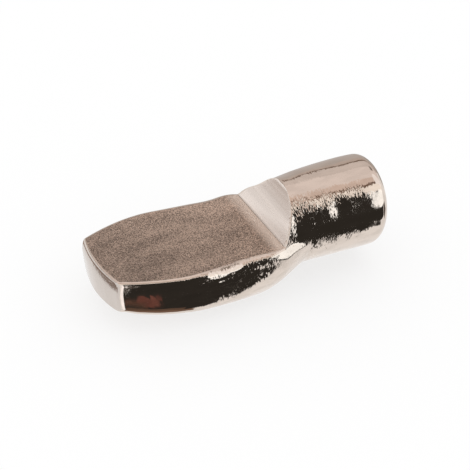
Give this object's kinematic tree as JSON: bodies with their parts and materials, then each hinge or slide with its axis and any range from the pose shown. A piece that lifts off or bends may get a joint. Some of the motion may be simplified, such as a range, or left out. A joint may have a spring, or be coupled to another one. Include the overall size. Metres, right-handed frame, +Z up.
{
  "type": "spoon shelf support pin",
  "caption": "One-piece spoon shelf support: a round pin for a bored cabinet side and a pressed flat blade that carries the shelf, nickel plated.",
  "frame": {"origin": "on the pin's axis, in the plane of the panel's face, where the full round of the pin begins", "axes": "+X along the pin's axis, into the panel, towards the pin's end; +Z up, out of the shelf flat; the blade reaches along -X"},
  "size_m": [0.0205, 0.0082, 0.0071],
  "materials": {
    "nickel_plate": "bright nickel plate with a fine orange-peel, satin and grained on the shelf flat"
  },
  "bodies": {
    "root": {"support_pin": "nickel_plate"}
  },
  "joints": []
}
